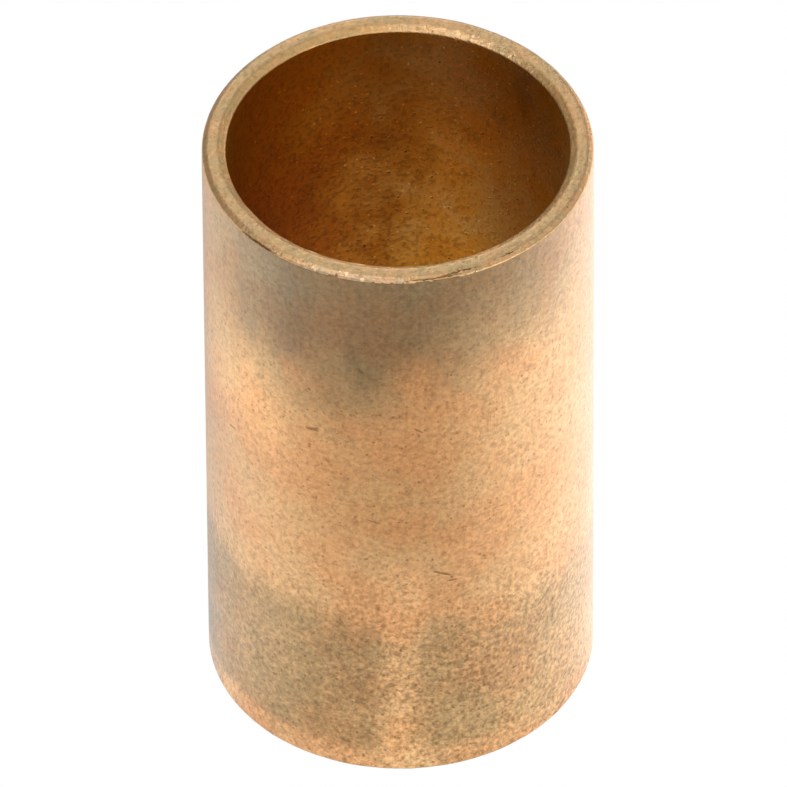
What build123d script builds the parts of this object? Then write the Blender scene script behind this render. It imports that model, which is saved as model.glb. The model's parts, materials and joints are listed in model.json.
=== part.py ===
from build123d import *
import os

# Plain sleeve bushing: one tube of pressed, sintered and sized bronze, with both ends alike.
# Millimetres. The origin is the centre of the bottom end face, and +Z runs up the bore.

inch = 25.4

bore_diameter = 7 / 8 * inch
wall = 1 / 16 * inch
length = 1.75 * inch

# The punches chamfer both edges of each end, the outer one as a lead into the housing and the
# inner one as a lead for the shaft. Both are flatter than 45 degrees: "across" is measured along
# the end face, and "deep" along the wall.
outer_chamfer_across = 0.38
outer_chamfer_deep = 0.25
bore_chamfer_across = 0.55
bore_chamfer_deep = 0.27

bore_radius = bore_diameter / 2
outside_radius = bore_radius + wall
face_inner_radius = bore_radius + bore_chamfer_across
face_outer_radius = outside_radius - outer_chamfer_across

with BuildPart() as sleeve:
    with BuildSketch(Plane.XZ) as wall_section:
        with BuildLine():
            Polyline(
                (bore_radius, bore_chamfer_deep),
                (face_inner_radius, 0),
                (face_outer_radius, 0),
                (outside_radius, outer_chamfer_deep),
                (outside_radius, length - outer_chamfer_deep),
                (face_outer_radius, length),
                (face_inner_radius, length),
                (bore_radius, length - bore_chamfer_deep),
                close=True,
            )
        make_face()
    revolve(axis=Axis.Z)

sleeve.part.label = "sleeve"

os.makedirs("parts", exist_ok=True)
export_step(sleeve.part, "parts/sleeve.step")
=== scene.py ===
# Bronze sleeve bushing: the finished looks of the sleeve, with a pale floor, soft light and the camera.
import json
import math

import bpy
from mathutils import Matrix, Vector


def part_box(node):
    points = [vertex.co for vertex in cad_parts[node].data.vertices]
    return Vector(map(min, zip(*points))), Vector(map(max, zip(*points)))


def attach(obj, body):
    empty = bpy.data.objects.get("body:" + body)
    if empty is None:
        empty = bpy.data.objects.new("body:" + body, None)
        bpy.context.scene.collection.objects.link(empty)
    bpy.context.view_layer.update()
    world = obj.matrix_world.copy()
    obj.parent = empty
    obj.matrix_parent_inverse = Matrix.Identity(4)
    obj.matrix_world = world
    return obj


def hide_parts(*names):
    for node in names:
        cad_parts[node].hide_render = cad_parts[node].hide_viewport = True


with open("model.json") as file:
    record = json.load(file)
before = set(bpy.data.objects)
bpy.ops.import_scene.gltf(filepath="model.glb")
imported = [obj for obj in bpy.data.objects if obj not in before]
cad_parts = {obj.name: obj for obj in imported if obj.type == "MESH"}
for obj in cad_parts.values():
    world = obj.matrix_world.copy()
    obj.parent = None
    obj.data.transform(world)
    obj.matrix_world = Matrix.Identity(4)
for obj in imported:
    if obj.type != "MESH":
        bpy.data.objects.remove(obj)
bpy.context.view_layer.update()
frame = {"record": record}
print("frame loaded")

mm = 0.001

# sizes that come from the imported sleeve
sleeveLow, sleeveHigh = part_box("sleeve")
mountDims = {mount["name"]: mount["dims"] for mount in frame["record"]["mounts"]}
length = sleeveHigh.z - sleeveLow.z
boreRadius = mountDims["bore"]["r_mm"] * mm
outsideRadius = mountDims["outside"]["r_mm"] * mm
boreChamferDeep = (length - mountDims["bore"]["length_mm"] * mm) / 2
outerChamferDeep = (length - mountDims["outside"]["length_mm"] * mm) / 2


def deselectAll():
    if bpy.context.mode != "OBJECT":
        bpy.ops.object.mode_set(mode="OBJECT")
    bpy.ops.object.select_all(action="DESELECT")


def selectEdges(piece, wanted):
    # picks the edges that the test likes, and leaves the piece open in edit mode
    bpy.ops.object.mode_set(mode="EDIT")
    bpy.ops.mesh.select_mode(type="EDGE")
    bpy.ops.mesh.select_all(action="DESELECT")
    bpy.ops.object.mode_set(mode="OBJECT")
    points = piece.data.vertices
    for edge in piece.data.edges:
        start, end = (points[i].co for i in edge.vertices)
        edge.select = wanted(start, end)
    bpy.ops.object.mode_set(mode="EDIT")


sleeveShape = {
    "stepsRound": 720,  # facets round the sleeve
    "wallRings": 14,  # rings along each wall
    "edgeRings": 5,  # rings across each end face and each chamfer
    "closeRings": [part * mm for part in (0.40, 0.48, 0.60, 0.80, 1.1, 1.7)],
    "outerChamferAcross": 0.38 * mm,
    "boreChamferAcross": 0.55 * mm,
    "edgeSoftness": 0.125 * mm,  # rounding left on every edge by tumbling
    "edgeSegments": 4,
    "rimDepth": 0.9 * mm,  # how far down the walls the pressing roughness reaches
    "rimRoughness": [(1.6 * mm, 0.040 * mm), (0.42 * mm, 0.026 * mm)],  # (lump size, height)
    "rimMiddle": 0.62,  # above a half, so that the lumps stay inside the true size
    "markDepth": 0.3 * mm,  # how far down the rim the burrs and nicks reach
    "markTaper": (1.0, 0.8, 0.55),  # each is raised in three steps, the last the narrowest
    # nicks and burrs of the top rim: start and end angle, distance in from the outside, reach, height
    "rimMarks": [
        (4, 23, 0.20 * mm, 0.07 * mm, -0.050 * mm),
        (2, 26, 0.34 * mm, 0.06 * mm, 0.022 * mm),
        (3, 22, 0.04 * mm, 0.05 * mm, 0.024 * mm),
        (-51, -39, 0.06 * mm, 0.06 * mm, -0.050 * mm),
        (-24, 2, 0.10 * mm, 0.10 * mm, 0.022 * mm),
        (30, 34, 0.45 * mm, 0.09 * mm, -0.050 * mm),
        (37, 41, 0.62 * mm, 0.08 * mm, -0.045 * mm),
        (44, 47, 0.38 * mm, 0.08 * mm, -0.045 * mm),
        (-32, -27, 1.53 * mm, 0.09 * mm, 0.035 * mm),
        (-62, -52, 1.53 * mm, 0.09 * mm, 0.030 * mm),
        (-80, -70, 1.53 * mm, 0.09 * mm, 0.028 * mm),
        (-16, -11, 1.53 * mm, 0.09 * mm, 0.030 * mm),
    ],
}


def cutCorner(side, end):
    # one chamfer of the wall section: side is 1 outside and -1 at the bore, end is 1 at the top
    if side > 0:
        faceX, deep, across = outsideRadius, outerChamferDeep, sleeveShape["outerChamferAcross"]
    else:
        faceX, deep, across = boreRadius, boreChamferDeep, sleeveShape["boreChamferAcross"]
    endZ = length if end > 0 else 0
    bpy.ops.mesh.select_all(action="SELECT")
    bpy.ops.mesh.bisect(
        plane_co=(faceX, 0, endZ - end * deep),
        plane_no=Vector((side * deep, 0, end * across)).normalized(),
        clear_outer=True,
        threshold=0.001 * mm,  # the usual threshold is half as large as the chamfer
    )


def makeSleeve():
    deselectAll()
    wall = outsideRadius - boreRadius
    middle = Vector(((outsideRadius + boreRadius) / 2, 0, length / 2))
    bpy.ops.mesh.primitive_plane_add(size=1, location=middle, rotation=(math.radians(90), 0, 0))
    piece = bpy.context.object
    piece.name = "bronzeSleeve"
    bpy.ops.object.mode_set(mode="EDIT")
    bpy.ops.transform.resize(value=(wall, 1, length), center_override=middle)
    bpy.ops.object.mode_set(mode="OBJECT")
    bpy.ops.object.transform_apply(location=True, rotation=True, scale=True)

    # chamfer the four corners of the wall section, then take the sharpness off every corner
    bpy.ops.object.mode_set(mode="EDIT")
    for side in (-1, 1):
        for end in (-1, 1):
            cutCorner(side, end)
    bpy.ops.mesh.select_all(action="SELECT")
    bpy.ops.mesh.bevel(
        affect="VERTICES",
        offset=sleeveShape["edgeSoftness"],
        segments=sleeveShape["edgeSegments"],
    )

    # only the outline is kept, with rings along the walls, finer ones across the ends, and close ones
    # just under the edges so that the shading stays tight there
    bpy.ops.mesh.select_all(action="SELECT")
    bpy.ops.mesh.delete(type="ONLY_FACE")
    selectEdges(piece, lambda start, end: (start - end).length > length / 2)
    bpy.ops.mesh.subdivide(number_cuts=sleeveShape["wallRings"] - 1)
    shortest = 1.2 * sleeveShape["edgeSoftness"]
    selectEdges(piece, lambda start, end: shortest < (start - end).length < wall)
    bpy.ops.mesh.subdivide(number_cuts=sleeveShape["edgeRings"] - 1)
    for depth in sleeveShape["closeRings"]:
        for ringHeight in (depth, length - depth):
            bpy.ops.mesh.select_all(action="SELECT")
            bpy.ops.mesh.bisect(plane_co=(0, 0, ringHeight), plane_no=(0, 0, 1), threshold=0.001 * mm)

    # turned round the bore axis
    bpy.ops.mesh.select_all(action="SELECT")
    bpy.ops.mesh.spin(
        steps=sleeveShape["stepsRound"], angle=math.tau, center=(0, 0, 0), axis=(0, 0, 1)
    )
    bpy.ops.mesh.select_all(action="SELECT")
    bpy.ops.mesh.remove_doubles(threshold=0.001 * mm)
    bpy.ops.mesh.select_all(action="SELECT")
    bpy.ops.mesh.normals_make_consistent(inside=False)
    bpy.ops.object.mode_set(mode="OBJECT")
    return piece


def roughenRims(piece):
    # the ends keep the slight unevenness of the pressing punches
    depth = sleeveShape["rimDepth"]
    rims = piece.vertex_groups.new(name="rims")
    for point in piece.data.vertices:
        fromEnd = min(point.co.z, length - point.co.z)
        if fromEnd < depth:
            rims.add([point.index], (1 - fromEnd / depth) ** 0.5, "REPLACE")
    for lumpSize, height in sleeveShape["rimRoughness"]:
        lumps = bpy.data.textures.new("rimLumps", "CLOUDS")
        lumps.noise_scale = lumpSize
        rough = piece.modifiers.new("rimRoughness", "DISPLACE")
        rough.texture = lumps
        rough.texture_coords = "LOCAL"
        rough.vertex_group = "rims"
        rough.mid_level = sleeveShape["rimMiddle"]
        rough.strength = height
        bpy.ops.object.modifier_apply(modifier=rough.name)


def markRim(piece):
    # small burrs stand up from the rim and nicks go into it, tapered to both sides
    rimPoints = []
    for point in piece.data.vertices:
        if point.co.z > length - sleeveShape["markDepth"]:
            around = math.degrees(math.atan2(point.co.x, -point.co.y))
            rimPoints.append((point.index, around, math.hypot(point.co.x, point.co.y)))
    bpy.ops.object.mode_set(mode="EDIT")
    bpy.ops.mesh.select_mode(type="VERT")
    for startAngle, endAngle, inwards, reach, height in sleeveShape["rimMarks"]:
        middle = (startAngle + endAngle) / 2
        for part in sleeveShape["markTaper"]:
            half = part * (endAngle - startAngle) / 2
            bpy.ops.mesh.select_all(action="DESELECT")
            bpy.ops.object.mode_set(mode="OBJECT")
            for index, around, radius in rimPoints:
                onLine = abs(outsideRadius - inwards - radius) < reach * part
                piece.data.vertices[index].select = onLine and abs(around - middle) < half
            bpy.ops.object.mode_set(mode="EDIT")
            bpy.ops.transform.translate(value=(0, 0, height / len(sleeveShape["markTaper"])))
    bpy.ops.object.mode_set(mode="OBJECT")


sleevePiece = makeSleeve()
roughenRims(sleevePiece)
markRim(sleevePiece)
bpy.ops.object.shade_smooth()
print("sleeve shaped:", len(sleevePiece.data.polygons), "faces")


# the three finishes share these node helpers

def addNode(tree, kind, inputs=None, **settings):
    node = tree.nodes.new(kind)
    for name, value in settings.items():
        setattr(node, name, value)
    for name, value in (inputs or {}).items():
        if isinstance(value, bpy.types.NodeSocket):
            tree.links.new(value, node.inputs[name])
        else:
            node.inputs[name].default_value = value
    return node


def sums(tree, operation, first, second=0.0, clamp=False):
    return addNode(
        tree, "ShaderNodeMath", {0: first, 1: second}, operation=operation, use_clamp=clamp
    ).outputs[0]


def smoothBand(tree, value, start, end, low=0.0, high=1.0):
    # low before start, high after end, turning smoothly between them
    if start > end:
        start, end, low, high = end, start, high, low
    return addNode(
        tree,
        "ShaderNodeMapRange",
        {"Value": value, "From Min": start, "From Max": end, "To Min": low, "To Max": high},
        interpolation_type="SMOOTHSTEP",
    ).outputs["Result"]


def blendColour(tree, share, under, over, mode="MIX"):
    inputs = {0: share, 6: under, 7: over}
    return addNode(tree, "ShaderNodeMix", inputs, data_type="RGBA", blend_type=mode).outputs[2]


def tinted(tree, share, colour, tint):
    # the colour multiplied by a tint where the share is 1, and left alone where it is 0
    return blendColour(tree, share, colour, tint, "MULTIPLY")


def vectors(tree, operation, first, second=(0, 0, 0)):
    inputs = {0: first, 1: second}
    outputs = addNode(tree, "ShaderNodeVectorMath", inputs, operation=operation).outputs
    return outputs["Value" if operation in ("DOT_PRODUCT", "LENGTH") else "Vector"]


def noiseAt(tree, place, scale, detail=2.0, roughness=0.5):
    inputs = {"Vector": place, "Scale": scale, "Detail": detail, "Roughness": roughness}
    return addNode(tree, "ShaderNodeTexNoise", inputs).outputs["Fac"]


def millimetres(tree, stretch=(1, 1, 1), shift=(0, 0, 0)):
    # the place on the sleeve in millimetres, squeezed where a pattern runs long
    place = addNode(tree, "ShaderNodeTexCoord").outputs["Object"]
    inputs = {"Vector": place, "Scale": [part / mm for part in stretch], "Location": shift}
    return addNode(tree, "ShaderNodeMapping", inputs).outputs[0]


def facing(tree, place, angle):
    # 1 on the side of the sleeve that lies at this angle from the front, round to -1 opposite it
    turn = math.radians(angle)
    radius = outsideRadius / mm
    towards = (math.sin(turn) / radius, -math.cos(turn) / radius, 0)
    return vectors(tree, "DOT_PRODUCT", place, towards)


def pinholes(tree, place, perMm, smallest, largest, edge=0.02):
    # open pores: one to a cell of a random lattice, and its size is the cell's own luck
    cells = addNode(tree, "ShaderNodeTexVoronoi", {"Vector": place, "Scale": perMm})
    luck = addNode(tree, "ShaderNodeSeparateColor", {"Color": cells.outputs["Color"]}).outputs[0]
    reach = addNode(
        tree,
        "ShaderNodeMapRange",
        {"Value": luck, "To Min": smallest * perMm, "To Max": largest * perMm},
    ).outputs["Result"]
    inside = sums(tree, "SUBTRACT", reach, cells.outputs["Distance"])
    return sums(tree, "DIVIDE", inside, edge * perMm, clamp=True)


def startMaterial(name, look):
    material = bpy.data.materials.new(name)
    material.use_nodes = True
    shader = material.node_tree.nodes["Principled BSDF"]
    shader.inputs["Metallic"].default_value = 1.0
    shader.inputs["Coat Weight"].default_value = look["oilFilm"]
    shader.inputs["Coat Roughness"].default_value = look["oilRoughness"]
    return material, material.node_tree, shader


def finishMaterial(tree, shader, colour, roughness, height, depth):
    tree.links.new(colour, shader.inputs["Base Color"])
    tree.links.new(roughness, shader.inputs["Roughness"])
    bump = addNode(tree, "ShaderNodeBump", {"Height": height, "Distance": depth})
    tree.links.new(bump.outputs[0], shader.inputs["Normal"])


def scratched(tree, place, scratches):
    # fine straight scratches on the outer wall, each between the two places that the look gives
    radius = outsideRadius / mm
    share = None
    for startAngle, startHeight, endAngle, endHeight, width in scratches:
        ends = []
        for angle, height in ((startAngle, startHeight), (endAngle, endHeight)):
            turn = math.radians(angle)
            ends.append(Vector((math.sin(turn) * radius, -math.cos(turn) * radius, height)))
        middle = (ends[0] + ends[1]) / 2
        along = (ends[1] - ends[0]).normalized()
        reach = (ends[1] - ends[0]).length / 2
        offset = vectors(tree, "SUBTRACT", place, middle)
        travel = vectors(tree, "DOT_PRODUCT", offset, along)
        far = vectors(tree, "LENGTH", offset)
        farSquared = sums(tree, "MULTIPLY", far, far)
        asideSquared = sums(tree, "SUBTRACT", farSquared, sums(tree, "MULTIPLY", travel, travel))
        beside = sums(tree, "SQRT", sums(tree, "MAXIMUM", asideSquared, 0.0))
        mark = smoothBand(tree, beside, width, 0.35 * width)
        within = smoothBand(tree, sums(tree, "ABSOLUTE", travel), reach, 0.6 * reach)
        mark = sums(tree, "MULTIPLY", mark, within)
        share = mark if share is None else sums(tree, "MAXIMUM", share, mark)
    return share


lengthMm = length / mm

wallLook = {
    # how many features of each pattern lie on a millimetre
    "perMm": {
        "clouds": 0.17,
        "wander": 0.33,
        "blotch": 0.45,
        "tone": 1.1,
        "mottle": 2.4,
        "large": 2.4,
        "ragged": 2.9,
        "grain": 3.1,
        "lines": 5.5,
    },
    "roughness": (0.46, 0.39),  # of the low grains and the high ones
    "relief": 0.08 * mm,
    "oilFilm": 0.4,
    "oilRoughness": 0.3,
    "orange": (0.640, 0.335, 0.140, 1),  # freshly sized bronze
    "yellow": (0.625, 0.375, 0.170, 1),  # and the same with a thin film on it
    "frontTone": (0.89, 0.83, 0.74, 1),  # browner down the front
    "paintedLeftHighlight": (1.24, 1.25, 1.20, 1),  # painted highlight at the left, half way up, where a lamp reflects
    "mottle": (0.83, 0.81, 0.76, 1),  # a fine darker mottle
    "glint": (1.35, 1.33, 1.29, 1),  # bright grains, as a share of the metal under them
    "shade": (0.68, 0.64, 0.56, 1),  # dark grains
    "upperDarkening": (0.45, 0.49, 0.48, 1),  # darker near the top, strongest at the front
    "topTarnish": (1.00, 1.05, 1.15, 1),  # paler and greyer close under the rim
    "greyTarnish": (0.94, 0.97, 1.04, 1),  # grey patches in the upper shade
    "leftStainAndShade": (0.84, 0.86, 0.93, 1),  # darker again at its left: partly the patch's own colour, partly painted shade that dims a lamp's reflection
    "lowerTarnish": (0.65, 0.71, 0.69, 1),  # the olive shade of the foot
    "sideStainAndShade": (0.74, 0.76, 0.79, 1),  # and darker again round the left: partly the stain, partly painted shade where the wall reflects the floor's shadow
    "paintedLowLeftShade": (0.62, 0.63, 0.66, 1),  # painted shade low down at the far left, where the wall reflects the floor's shadow
    "footEdge": (1.10, 1.15, 1.24, 1),  # a pale edge at the front of the foot
    "footLift": (1.12, 1.17, 1.20, 1),  # paler again low down at the front
    "smudge": (0.84, 0.83, 0.80, 1),  # dull patches a millimetre or so across
    "drawnLines": (0.90, 0.90, 0.90, 1),  # die lines along the wall
    "runOff": (1.20, 1.21, 1.24, 1),  # the pale streak down the front of the foot
    "pore": (0.54, 0.43, 0.30, 1),
    "scratch": (0.58, 0.48, 0.36, 1),
    "upperFull": 4.6,  # the upper shade is full this far down from the top, in millimetres
    "upperGone": 14.8,  # and gone this far down
    "lowerReach": 0.31,  # how far the lower shade comes up, as a share of the length
    "scratches": [
        # angle and height where it starts, angle and height where it ends, and width
        # in degrees and millimetres
        (9.0, 18.2, 15.5, 17.5, 0.13),
        (14.0, 17.1, 17.0, 17.1, 0.09),
        (4.0, 31.2, 7.0, 30.7, 0.07),
        (-29.0, 29.9, -24.0, 30.2, 0.09),
        (-60.5, 25.6, -57.0, 25.7, 0.08),
        (36.0, 28.9, 45.0, 29.0, 0.04),
        (-10.0, 22.9, -6.0, 22.6, 0.05),
        (44.0, 11.5, 51.0, 12.6, 0.08),
        (-12.0, 36.2, -10.4, 36.0, 0.09),
        (-29.0, 29.9, -24.0, 30.0, 0.10),
        (112.0, 24.0, 118.0, 26.5, 0.08),
        (171.0, 13.0, 178.0, 12.2, 0.09),
        (214.0, 31.0, 220.0, 30.0, 0.07),
        (246.0, 20.0, 249.0, 22.5, 0.08),
    ],
}


def makeWallBronze():
    look = wallLook
    perMm = look["perMm"]
    material, tree, shader = startMaterial("sizedWallBronze", look)
    place = millimetres(tree)
    parts = addNode(tree, "ShaderNodeSeparateXYZ", {"Vector": place}).outputs
    height = parts["Z"]
    longPlace = millimetres(tree, (1, 1, 0.45), (17, 5, 0))
    linePlace = millimetres(tree, (1, 1, 0.05))

    # broad clouds of two bronzes, browner at the front, with a fine mottle over them
    clouds = noiseAt(tree, place, perMm["clouds"], 3, 0.6)
    colour = blendColour(tree, smoothBand(tree, clouds, 0.38, 0.62), look["orange"], look["yellow"])
    frontShare = smoothBand(tree, facing(tree, place, -8), 0.80, 1.0)
    aboveFoot = smoothBand(tree, height, 0.40 * lengthMm, 0.52 * lengthMm)
    frontShare = sums(tree, "MULTIPLY", frontShare, aboveFoot)
    colour = tinted(tree, frontShare, colour, look["frontTone"])
    # a painted highlight at the left, half way up the wall, where a lamp reflects
    paintedLeftHighlight = smoothBand(tree, facing(tree, place, -58), 0.88, 1.0)
    paintedLeftHighlight = sums(tree, "MULTIPLY", paintedLeftHighlight, smoothBand(tree, height, 0.54 * lengthMm, 0.66 * lengthMm))
    colour = tinted(tree, paintedLeftHighlight, colour, look["paintedLeftHighlight"])
    tone = noiseAt(tree, place, perMm["tone"], 3, 0.6)
    colour = tinted(tree, smoothBand(tree, tone, 0.50, 0.30, 0.0, 0.6), colour, look["smudge"])
    mottle = noiseAt(tree, millimetres(tree, (1, 1, 1), (9, 2, 4)), perMm["mottle"], 3, 0.7)
    colour = tinted(tree, smoothBand(tree, mottle, 0.52, 0.38), colour, look["mottle"])

    # the upper shade: full near the top, fading downwards in uneven tongues, strongest at the front,
    # with another, lighter one round the back
    wander = sums(tree, "SUBTRACT", noiseAt(tree, longPlace, perMm["wander"], 4, 0.6), 0.5)
    front = sums(tree, "ADD", facing(tree, place, -2), sums(tree, "MULTIPLY", wander, 0.35))
    frontUpper = smoothBand(tree, front, -0.05, 0.85)
    back = sums(tree, "ADD", facing(tree, place, 165), sums(tree, "MULTIPLY", wander, -0.8))
    upperShare = sums(tree, "ADD", frontUpper, smoothBand(tree, back, 0.3, 1.0, 0.0, 0.7), clamp=True)
    down = sums(tree, "SUBTRACT", lengthMm, height)
    down = sums(tree, "ADD", down, sums(tree, "MULTIPLY", wander, 9.0))
    down = sums(tree, "SUBTRACT", down, smoothBand(tree, facing(tree, place, -22), 0.92, 1.0, 0.0, 1.4))
    down = sums(tree, "ADD", down, smoothBand(tree, facing(tree, place, 45), 0.5, 1.0, 0.0, 2.6))
    upperFade = smoothBand(tree, down, look["upperGone"], look["upperFull"])
    upperShare = sums(tree, "MULTIPLY", upperShare, upperFade)
    colour = tinted(tree, upperShare, colour, look["upperDarkening"])
    crown = sums(tree, "MULTIPLY", upperShare, smoothBand(tree, down, 4.5, 1.0))
    colour = tinted(tree, crown, colour, look["topTarnish"])
    # partly a real dark patch, partly painted shade over a lamp's reflection at the left
    leftShare = smoothBand(tree, facing(tree, place, -42), 0.945, 0.992)
    leftShare = sums(tree, "MULTIPLY", leftShare, smoothBand(tree, down, 10.0, 6.5))
    colour = tinted(tree, leftShare, colour, look["leftStainAndShade"])
    greyShare = sums(tree, "MULTIPLY", upperShare, smoothBand(tree, tone, 0.46, 0.60))
    colour = tinted(tree, greyShare, colour, look["greyTarnish"])

    # the lower shade, broken by a pale run-off streak at the front, and a clean strip at the foot
    lowerTop = look["lowerReach"] * lengthMm
    swayed = sums(tree, "SUBTRACT", height, sums(tree, "MULTIPLY", wander, 6.0))
    swayed = sums(tree, "ADD", swayed, smoothBand(tree, facing(tree, place, 40), 0.5, 1.0, 0.0, 1.0))
    lower = smoothBand(tree, swayed, lowerTop + 1.6, lowerTop - 1.6)
    blotch = smoothBand(tree, noiseAt(tree, place, perMm["blotch"], 4, 0.62), 0.36, 0.58, 0.72, 1.0)
    thin = smoothBand(tree, facing(tree, place, 75), 0.1, 1.0, 1.0, 0.42)
    brink = smoothBand(tree, facing(tree, place, 72), 0.70, 0.97, 0.0, 0.36)
    thin = sums(tree, "ADD", thin, sums(tree, "MULTIPLY", brink, smoothBand(tree, height, 7.2, 9.4)))
    foot = smoothBand(tree, sums(tree, "ADD", height, sums(tree, "MULTIPLY", tone, 0.9)), 1.9, 3.2)
    isFront = smoothBand(tree, parts["Y"], 2.0, -2.0)
    wavyX = sums(tree, "ADD", parts["X"], sums(tree, "MULTIPLY", wander, 2.0))
    inStreak = smoothBand(tree, sums(tree, "ABSOLUTE", wavyX), 2.5, 0.4)
    inStreak = sums(tree, "MULTIPLY", inStreak, isFront)
    lowerShare = sums(tree, "SUBTRACT", 1.0, sums(tree, "MULTIPLY", inStreak, 0.85))
    for part in (lower, blotch, thin, foot):
        lowerShare = sums(tree, "MULTIPLY", lowerShare, part)
    colour = tinted(tree, lowerShare, colour, look["lowerTarnish"])
    # the lower stain darker round the left: partly its own colour, partly painted shade of the floor's
    # shadow
    isSide = smoothBand(tree, facing(tree, place, -95), 0.80, 1.0)
    sideShare = sums(tree, "MULTIPLY", lowerShare, isSide)
    colour = tinted(tree, sideShare, colour, look["sideStainAndShade"])
    # painted shade low down at the far left
    paintedLowLeftShade = smoothBand(tree, facing(tree, place, -95), 0.86, 0.99)
    paintedLowLeftShade = sums(tree, "MULTIPLY", paintedLowLeftShade, smoothBand(tree, height, 8.0, 1.0))
    colour = tinted(tree, paintedLowLeftShade, colour, look["paintedLowLeftShade"])
    footShare = smoothBand(tree, sums(tree, "ADD", height, tone), 2.6, 1.4)
    footShare = sums(tree, "MULTIPLY", footShare, smoothBand(tree, facing(tree, place, -16), 0.85, 1.0))
    colour = tinted(tree, footShare, colour, look["footEdge"])
    liftShare = smoothBand(tree, swayed, 8.0, 4.5)
    liftShare = sums(tree, "MULTIPLY", liftShare, smoothBand(tree, facing(tree, place, 12), 0.62, 0.90))
    colour = tinted(tree, liftShare, colour, look["footLift"])
    inFoot = smoothBand(tree, height, 0.45 * lengthMm, 0.38 * lengthMm)
    runOff = sums(tree, "MULTIPLY", inStreak, inFoot)
    runOff = sums(tree, "MULTIPLY", runOff, smoothBand(tree, mottle, 0.34, 0.56, 0.5, 1.0))
    colour = tinted(tree, runOff, colour, look["runOff"])

    # fine lines from the sizing die, clearest near the top
    lines = noiseAt(tree, linePlace, perMm["lines"], 3, 0.65)
    lineShare = smoothBand(tree, height, 16.0, 36.0, 0.1, 0.7)
    lineShare = sums(tree, "MULTIPLY", smoothBand(tree, lines, 0.48, 0.66), lineShare)
    colour = tinted(tree, lineShare, colour, look["drawnLines"])

    # grain of the pressed powder, strongest at the foot
    grain = noiseAt(tree, place, perMm["grain"], 3, 0.62)
    grit = smoothBand(tree, swayed, 0.46 * lengthMm, 0.24 * lengthMm, 0.40, 1.0)
    rubbedSmooth = smoothBand(tree, facing(tree, place, -62), 0.45, 0.95, 1.0, 0.66)
    grit = sums(tree, "MULTIPLY", grit, rubbedSmooth)
    bright = sums(tree, "MULTIPLY", smoothBand(tree, grain, 0.51, 0.63), grit)
    dark = sums(tree, "MULTIPLY", smoothBand(tree, grain, 0.47, 0.36), grit)
    colour = tinted(tree, bright, colour, look["glint"])
    colour = tinted(tree, dark, colour, look["shade"])

    # open pores: ragged small ones, and rounder large ones
    ragged = noiseAt(tree, millimetres(tree, (1, 1, 1), (31, 7, 13)), perMm["ragged"], 2, 0.6)
    pores = smoothBand(tree, ragged, 0.39, 0.30, 0.0, 0.52)
    large = pinholes(tree, place, perMm["large"], -0.06, 0.14, 0.10)
    pores = sums(tree, "MAXIMUM", pores, large)
    pores = sums(tree, "MULTIPLY", pores, smoothBand(tree, upperShare, 0.2, 1.0, 1.0, 0.5))
    colour = tinted(tree, pores, colour, look["pore"])
    scratch = scratched(tree, place, look["scratches"])
    colour = tinted(tree, scratch, colour, look["scratch"])

    roughness = smoothBand(tree, grain, 0.3, 0.7, *look["roughness"])
    relief = sums(tree, "MULTIPLY", grain, smoothBand(tree, grit, 0.42, 1.0, 0.5, 1.9))
    relief = sums(tree, "SUBTRACT", relief, sums(tree, "MULTIPLY", pores, 0.3))
    relief = sums(tree, "SUBTRACT", relief, sums(tree, "MULTIPLY", lines, 0.12))
    relief = sums(tree, "SUBTRACT", relief, sums(tree, "MULTIPLY", scratch, 0.5))
    finishMaterial(tree, shader, colour, roughness, relief, look["relief"])
    return material


boreLook = {
    "perMm": {"clouds": 0.22, "blots": 0.55, "large": 1.8, "flecks": 2.6, "grain": 3.0, "ragged": 3.0},
    "roughness": (0.52, 0.42),  # of the low grains and the high ones
    "relief": 0.04 * mm,
    "oilFilm": 0.1,
    "oilRoughness": 0.3,
    "red": (0.71, 0.320, 0.024, 1),
    "olive": (0.675, 0.352, 0.060, 1),
    "shadedSideTint": (0.79, 0.64, 0.10, 1),  # painted shade: redder and darker on the side of the bore away from the light
    "paintedDeepShade": (0.50, 0.41, 0.20, 1),  # painted shade, browner further down the same side
    "paintedLitSide": (1.72, 2.10, 3.20, 1),  # painted light on the side of the bore the light reaches, paler and less red
    "paintedLitRight": (1.35, 1.40, 1.55, 1),  # and paler still on the right, painted light as well
    "nearTop": (0.71, 0.68, 0.66, 1),  # painted shade near the mouth
    "shade": (0.74, 0.71, 0.62, 1),
    "pore": (0.45, 0.40, 0.35, 1),
    "fleck": (1.6, 1.75, 3.2, 1),  # bright grains
}


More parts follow.
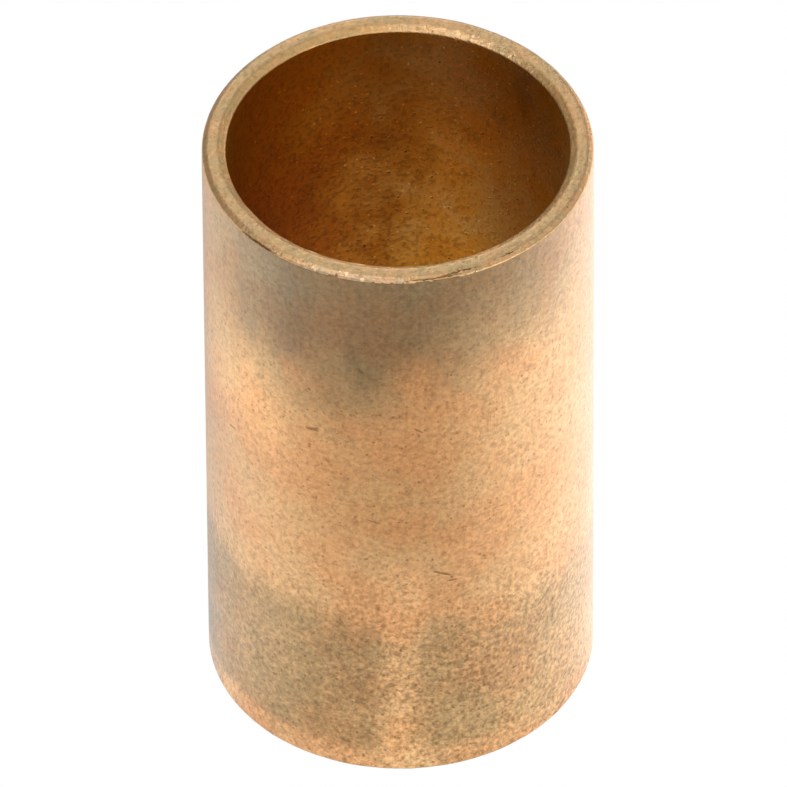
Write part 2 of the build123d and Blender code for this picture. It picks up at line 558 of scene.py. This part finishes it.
def makeBoreBronze():
    look = boreLook
    perMm = look["perMm"]
    material, tree, shader = startMaterial("oiledBoreBronze", look)
    place = millimetres(tree)
    height = addNode(tree, "ShaderNodeSeparateXYZ", {"Vector": place}).outputs["Z"]
    clouds = noiseAt(tree, place, perMm["clouds"], 3, 0.6)
    colour = blendColour(tree, smoothBand(tree, clouds, 0.40, 0.62), look["red"], look["olive"])
    # painted light and shade by side and depth: redder and darker on the side away from the light,
    # paler on the lit side, and darker near the mouth
    depth = sums(tree, "SUBTRACT", lengthMm, height)
    drift = sums(tree, "MULTIPLY", sums(tree, "SUBTRACT", clouds, 0.5), 0.8)
    side = sums(tree, "ADD", facing(tree, place, 115), drift)
    # painted shade on the side of the bore away from the light
    shadedSide = smoothBand(tree, side, 0.58, -0.18)
    colour = tinted(tree, shadedSide, colour, look["shadedSideTint"])
    # painted shade, deeper down the same side
    deep = sums(tree, "MULTIPLY", shadedSide, smoothBand(tree, depth, 3.0, 15.0))
    colour = tinted(tree, deep, colour, look["paintedDeepShade"])
    # painted light: the side of the bore that the light reaches is paler
    litShare = smoothBand(tree, depth, 1.0, 13.0, 0.5, 1.0)
    litShare = sums(tree, "MULTIPLY", litShare, smoothBand(tree, side, 0.2, 0.85))
    colour = tinted(tree, litShare, colour, look["paintedLitSide"])
    # more painted light on the right of the bore
    paintedLitRight = smoothBand(tree, facing(tree, place, 95), 0.84, 0.99)
    paintedLitRight = sums(tree, "MULTIPLY", paintedLitRight, smoothBand(tree, depth, 3.0, 9.0))
    colour = tinted(tree, paintedLitRight, colour, look["paintedLitRight"])
    # painted shade near the mouth
    nearTop = smoothBand(tree, depth, 12.0, 1.0, 0.0, 0.9)
    nearTop = sums(tree, "MULTIPLY", nearTop, smoothBand(tree, side, -0.85, -0.45))
    colour = tinted(tree, nearTop, colour, look["nearTop"])
    blots = noiseAt(tree, millimetres(tree, (1, 1, 0.6), (3, 8, 1)), perMm["blots"], 4, 0.6)
    colour = tinted(tree, smoothBand(tree, blots, 0.50, 0.66, 0.0, 0.6), colour, look["shade"])
    grain = noiseAt(tree, place, perMm["grain"], 2, 0.6)
    colour = tinted(tree, smoothBand(tree, grain, 0.52, 0.36), colour, look["shade"])
    ragged = noiseAt(tree, millimetres(tree, (1, 1, 1), (31, 7, 13)), perMm["ragged"], 2, 0.55)
    pores = smoothBand(tree, ragged, 0.31, 0.25, 0.0, 0.6)
    large = pinholes(tree, place, perMm["large"], -0.06, 0.12, 0.05)
    pores = sums(tree, "MAXIMUM", pores, large)
    colour = tinted(tree, pores, colour, look["pore"])
    flecks = pinholes(tree, millimetres(tree, (1, 1, 1), (5, 5, 5)), perMm["flecks"], -0.08, 0.11)
    colour = tinted(tree, flecks, colour, look["fleck"])
    roughness = smoothBand(tree, grain, 0.3, 0.7, *look["roughness"])
    relief = sums(tree, "MULTIPLY", grain, 0.6)
    relief = sums(tree, "SUBTRACT", relief, sums(tree, "MULTIPLY", pores, 0.5))
    finishMaterial(tree, shader, colour, roughness, relief, look["relief"])
    return material


endLook = {
    "perMm": {"clouds": 0.55, "wobble": 1.5, "grain": 3.0, "ragged": 3.0, "paintedGlints": 3.0, "dull": 3.0},
    "roughness": (0.43, 0.35),  # of the low grains and the high ones
    "relief": 0.07 * mm,
    "oilFilm": 0.12,
    "oilRoughness": 0.3,
    "pressed": (0.750, 0.465, 0.225, 1),
    "olive": (0.640, 0.450, 0.225, 1),
    "glint": (1.18, 1.18, 1.17, 1),
    "shade": (0.80, 0.78, 0.74, 1),
    "innerTone": (1.00, 0.94, 0.82, 1),  # oil from the bore tints the inner chamfer
    "outerTone": (0.93, 0.88, 0.86, 1),
    "shadedTone": (0.80, 0.77, 0.72, 1),  # the bore chamfer at the right
    "paintedBackShade": (0.74, 0.68, 0.62, 1),  # painted shade on the outer chamfer at the back
    "paintedHighlightTint": (1.00, 1.06, 1.26, 1),  # painted highlight where the rough edges catch the overhead light
    "paintedGlint": (1.45, 1.55, 1.75, 1),  # painted glints on the crushed grains of the rough edges
    "pore": (0.44, 0.40, 0.35, 1),
    "crack": (0.30, 0.24, 0.18, 1),
    # dirt in the cracks of the outer edge: start and end angle, distance in from the outside, width
    "cracks": [(3, 19, 0.16, 0.07), (12, 25, 0.26, 0.05), (-52, -39, 0.07, 0.08), (33, 38, 0.30, 0.05)],
}


def cracked(tree, place, fromAxis, cracks):
    share = None
    for startAngle, endAngle, inwards, width in cracks:
        half = math.radians(endAngle - startAngle) / 2
        radius = outsideRadius / mm - inwards
        nearness = radius * mm / outsideRadius
        within = smoothBand(
            tree,
            facing(tree, place, (startAngle + endAngle) / 2),
            nearness * math.cos(half),
            nearness * math.cos(0.5 * half),
        )
        offLine = sums(tree, "ABSOLUTE", sums(tree, "SUBTRACT", fromAxis, radius))
        mark = sums(tree, "MULTIPLY", within, smoothBand(tree, offLine, width, 0.3 * width))
        share = mark if share is None else sums(tree, "MAXIMUM", share, mark)
    return share


def makeEndBronze():
    look = endLook
    perMm = look["perMm"]
    material, tree, shader = startMaterial("pressedEndBronze", look)
    place = millimetres(tree)
    clouds = noiseAt(tree, place, perMm["clouds"], 4, 0.65)
    colour = blendColour(tree, smoothBand(tree, clouds, 0.40, 0.64), look["pressed"], look["olive"])
    fromAxis = vectors(tree, "LENGTH", vectors(tree, "MULTIPLY", place, (1, 1, 0)))
    innerEdge = boreRadius / mm + sleeveShape["boreChamferAcross"] / mm
    outerEdge = (outsideRadius - sleeveShape["outerChamferAcross"]) / mm
    onInner = smoothBand(tree, fromAxis, innerEdge + 0.10, innerEdge - 0.15)
    onOuter = smoothBand(tree, fromAxis, outerEdge - 0.05, outerEdge + 0.05)
    colour = tinted(tree, onInner, colour, look["innerTone"])
    colour = tinted(tree, onOuter, colour, look["outerTone"])
    innerSide = sums(tree, "MULTIPLY", onInner, smoothBand(tree, facing(tree, place, 95), 0.5, 0.92))
    # painted shade on the outer chamfer at the back, which dims a lamp's reflection
    outerBack = sums(tree, "MULTIPLY", onOuter, smoothBand(tree, facing(tree, place, 168), 0.7, 0.95))
    colour = tinted(tree, innerSide, colour, look["shadedTone"])
    colour = tinted(tree, outerBack, colour, look["paintedBackShade"])
    # painted highlights where the overhead light reflects: the outer chamfer at the front left and the
    # bore chamfer at the back right, with painted glints and real pits on them
    innerHighlight = sums(tree, "MULTIPLY", onInner, smoothBand(tree, facing(tree, place, 155), 0.72, 0.9))
    crushedAndLit = sums(tree, "MULTIPLY", onOuter, smoothBand(tree, facing(tree, place, -14), 0.93, 0.985))
    pale = sums(tree, "MAXIMUM", crushedAndLit, innerHighlight)
    colour = tinted(tree, pale, colour, look["paintedHighlightTint"])
    crushedAndLit = sums(tree, "MAXIMUM", crushedAndLit, sums(tree, "MULTIPLY", innerHighlight, 0.8))
    paintedGlints = pinholes(tree, millimetres(tree, (1, 1, 1), (2, 9, 6)), perMm["paintedGlints"], -0.03, 0.15, 0.03)
    colour = tinted(tree, sums(tree, "MULTIPLY", paintedGlints, crushedAndLit), colour, look["paintedGlint"])
    dull = pinholes(tree, millimetres(tree, (1, 1, 1), (7, 1, 8)), perMm["dull"], -0.04, 0.12, 0.04)
    colour = tinted(tree, sums(tree, "MULTIPLY", dull, crushedAndLit), colour, look["pore"])
    grain = noiseAt(tree, place, perMm["grain"], 3, 0.6)
    colour = tinted(tree, smoothBand(tree, grain, 0.54, 0.70), colour, look["glint"])
    colour = tinted(tree, smoothBand(tree, grain, 0.46, 0.32), colour, look["shade"])
    ragged = noiseAt(tree, millimetres(tree, (1, 1, 1), (31, 7, 13)), perMm["ragged"], 2, 0.55)
    pores = smoothBand(tree, ragged, 0.32, 0.25)
    pitSide = smoothBand(tree, facing(tree, place, 40), 0.7, 1.0, 0.6, 1.0)
    pores = sums(tree, "MULTIPLY", pores, pitSide)
    wobble = noiseAt(tree, place, perMm["wobble"], 2, 0.6)
    wobble = sums(tree, "MULTIPLY", sums(tree, "SUBTRACT", wobble, 0.5), 0.35)
    crack = cracked(tree, place, sums(tree, "ADD", fromAxis, wobble), look["cracks"])
    colour = tinted(tree, pores, colour, look["pore"])
    colour = tinted(tree, crack, colour, look["crack"])
    roughness = smoothBand(tree, grain, 0.3, 0.7, *look["roughness"])
    relief = sums(tree, "SUBTRACT", grain, sums(tree, "MULTIPLY", pores, 0.5))
    finishMaterial(tree, shader, colour, roughness, relief, look["relief"])
    return material


def giveFinishes(piece):
    # outer wall, bore, and the pressed ends with their chamfers
    for makeFinish in (makeWallBronze, makeBoreBronze, makeEndBronze):
        piece.data.materials.append(makeFinish())
    for face in piece.data.polygons:
        outward = face.normal.x * face.center.x + face.normal.y * face.center.y > 0
        isWall = abs(face.normal.z) < 0.3
        face.material_index = (0 if outward else 1) if isWall else 2


giveFinishes(sleevePiece)
print("bronze finished")

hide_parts("sleeve")
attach(sleevePiece, "root")


stage = {
    "floorWidth": 6.0,
    "floorColour": (0.85, 0.85, 0.85, 1),
    "floorRoughness": 0.9,
    "floorShine": 0.1,
    # light that lamps out of view throw on the floor: angle from the front to the right, strength
    "floorPools": [(112, 1.30), (283, 0.75), (35, 0.35)],
    "poolFocus": 2.0,  # higher makes the pools narrower
    "boreGlow": 0.5,  # the floor inside the sleeve
    "floorPaper": 1.0,  # how much of what the viewer sees of the floor is plain white paper
    "roomLight": 0.32,
}


def makeFloor():
    deselectAll()
    bpy.ops.mesh.primitive_plane_add(size=stage["floorWidth"], location=(0, 0, 0))
    floor = bpy.context.object
    floor.name = "paleFloor"
    paint = bpy.data.materials.new("paleFloor")
    paint.use_nodes = True
    tree = paint.node_tree
    shader = tree.nodes["Principled BSDF"]
    shader.inputs["Base Color"].default_value = stage["floorColour"]
    shader.inputs["Roughness"].default_value = stage["floorRoughness"]
    shader.inputs["Specular IOR Level"].default_value = stage["floorShine"]
    shader.inputs["Emission Color"].default_value = (1, 1, 1, 1)
    place = addNode(tree, "ShaderNodeTexCoord").outputs["Object"]
    direction = vectors(tree, "NORMALIZE", place)
    fromAxis = vectors(tree, "LENGTH", place)
    glow = smoothBand(tree, fromAxis, boreRadius, 0.8 * boreRadius, 0.0, stage["boreGlow"])
    for angle, strength in stage["floorPools"]:
        turn = math.radians(angle)
        towards = (math.sin(turn), -math.cos(turn), 0)
        share = sums(tree, "MAXIMUM", vectors(tree, "DOT_PRODUCT", direction, towards), 0.0)
        share = sums(tree, "POWER", share, stage["poolFocus"])
        glow = sums(tree, "ADD", glow, sums(tree, "MULTIPLY", share, strength))
    tree.links.new(glow, shader.inputs["Emission Strength"])
    seen = addNode(tree, "ShaderNodeLightPath").outputs["Is Camera Ray"]
    share = sums(tree, "MULTIPLY", seen, stage["floorPaper"])
    paper = addNode(tree, "ShaderNodeEmission").outputs[0]
    mixed = addNode(tree, "ShaderNodeMixShader", {0: share, 1: shader.outputs[0], 2: paper}).outputs[0]
    tree.links.new(mixed, tree.nodes["Material Output"].inputs["Surface"])
    floor.data.materials.append(paint)


def makeRoomLight():
    world = bpy.data.worlds.new("softRoom")
    world.use_nodes = True
    bpy.context.scene.world = world
    tree = world.node_tree
    background = tree.nodes["Background"]
    background.inputs["Color"].default_value = (1, 1, 1, 1)
    # the backdrop is plain white wherever it is seen directly
    seen = addNode(tree, "ShaderNodeLightPath").outputs["Is Camera Ray"]
    glow = smoothBand(tree, seen, 0.0, 1.0, stage["roomLight"], 1.0)
    tree.links.new(glow, background.inputs["Strength"])


softLights = [
    # name, angle from the front towards the right, height angle, distance, width, power
    ("frontBox", 0, 14, 0.60, 0.26, 0.24),
    ("frontRightBox", 45, 14, 0.60, 0.26, 0.62),
    ("backRightBox", 135, 14, 0.60, 0.26, 0.28),
    ("backBox", 180, 14, 0.60, 0.26, 0.29),
    ("frontHighBox", 0, 48, 0.60, 0.30, 0.49),
    ("rightHighBox", 90, 48, 0.60, 0.40, 0.38),
    ("backHighBox", 195, 48, 0.60, 0.40, 0.31),
    ("leftHighBox", 300, 48, 0.60, 0.30, 0.39),
    ("topBox", 0, 90, 0.60, 0.25, 0.21),
    ("overheadSpot", 297, 71, 0.50, 0.10, 0.165),
]


def makeSoftLights():
    middle = Vector((0, 0, length / 2))
    for name, side, rise, distance, width, power in softLights:
        turn, rise = math.radians(side), math.radians(rise)
        away = Vector(
            (math.sin(turn) * math.cos(rise), -math.cos(turn) * math.cos(rise), math.sin(rise))
        )
        lamp = bpy.data.lights.new(name, "AREA")
        lamp.size = width
        lamp.energy = power
        holder = bpy.data.objects.new(name, lamp)
        bpy.context.scene.collection.objects.link(holder)
        holder.location = middle + away * distance
        holder.rotation_euler = (-away).to_track_quat("-Z", "Y").to_euler()
        holder.visible_camera = False


camera = {
    "lens": 1009,  # a long lens, far back
    "distance": 1.4422,
    "elevation": 43.74,
    "lean": -0.4,
    "aim": (-0.39 * mm, 0, 0.5 * length),
    "nearest": 0.01,
    "farthest": 10,
}


def makeCamera():
    lens = bpy.data.cameras.new("camera")
    lens.lens = camera["lens"]
    lens.clip_start = camera["nearest"]
    lens.clip_end = camera["farthest"]
    holder = bpy.data.objects.new("camera", lens)
    bpy.context.scene.collection.objects.link(holder)
    tilt = math.radians(camera["elevation"])
    back = Vector((0, -math.cos(tilt), math.sin(tilt)))
    holder.location = Vector(camera["aim"]) + back * camera["distance"]
    turn = (-back).to_track_quat("-Z", "Y").to_matrix().to_4x4()
    holder.rotation_euler = turn.to_euler()
    holder.rotation_euler.rotate_axis("Z", math.radians(camera["lean"]))
    bpy.context.scene.camera = holder


makeFloor()
makeRoomLight()
makeSoftLights()
makeCamera()
bpy.context.scene.view_settings.view_transform = "Standard"
print("stage set")
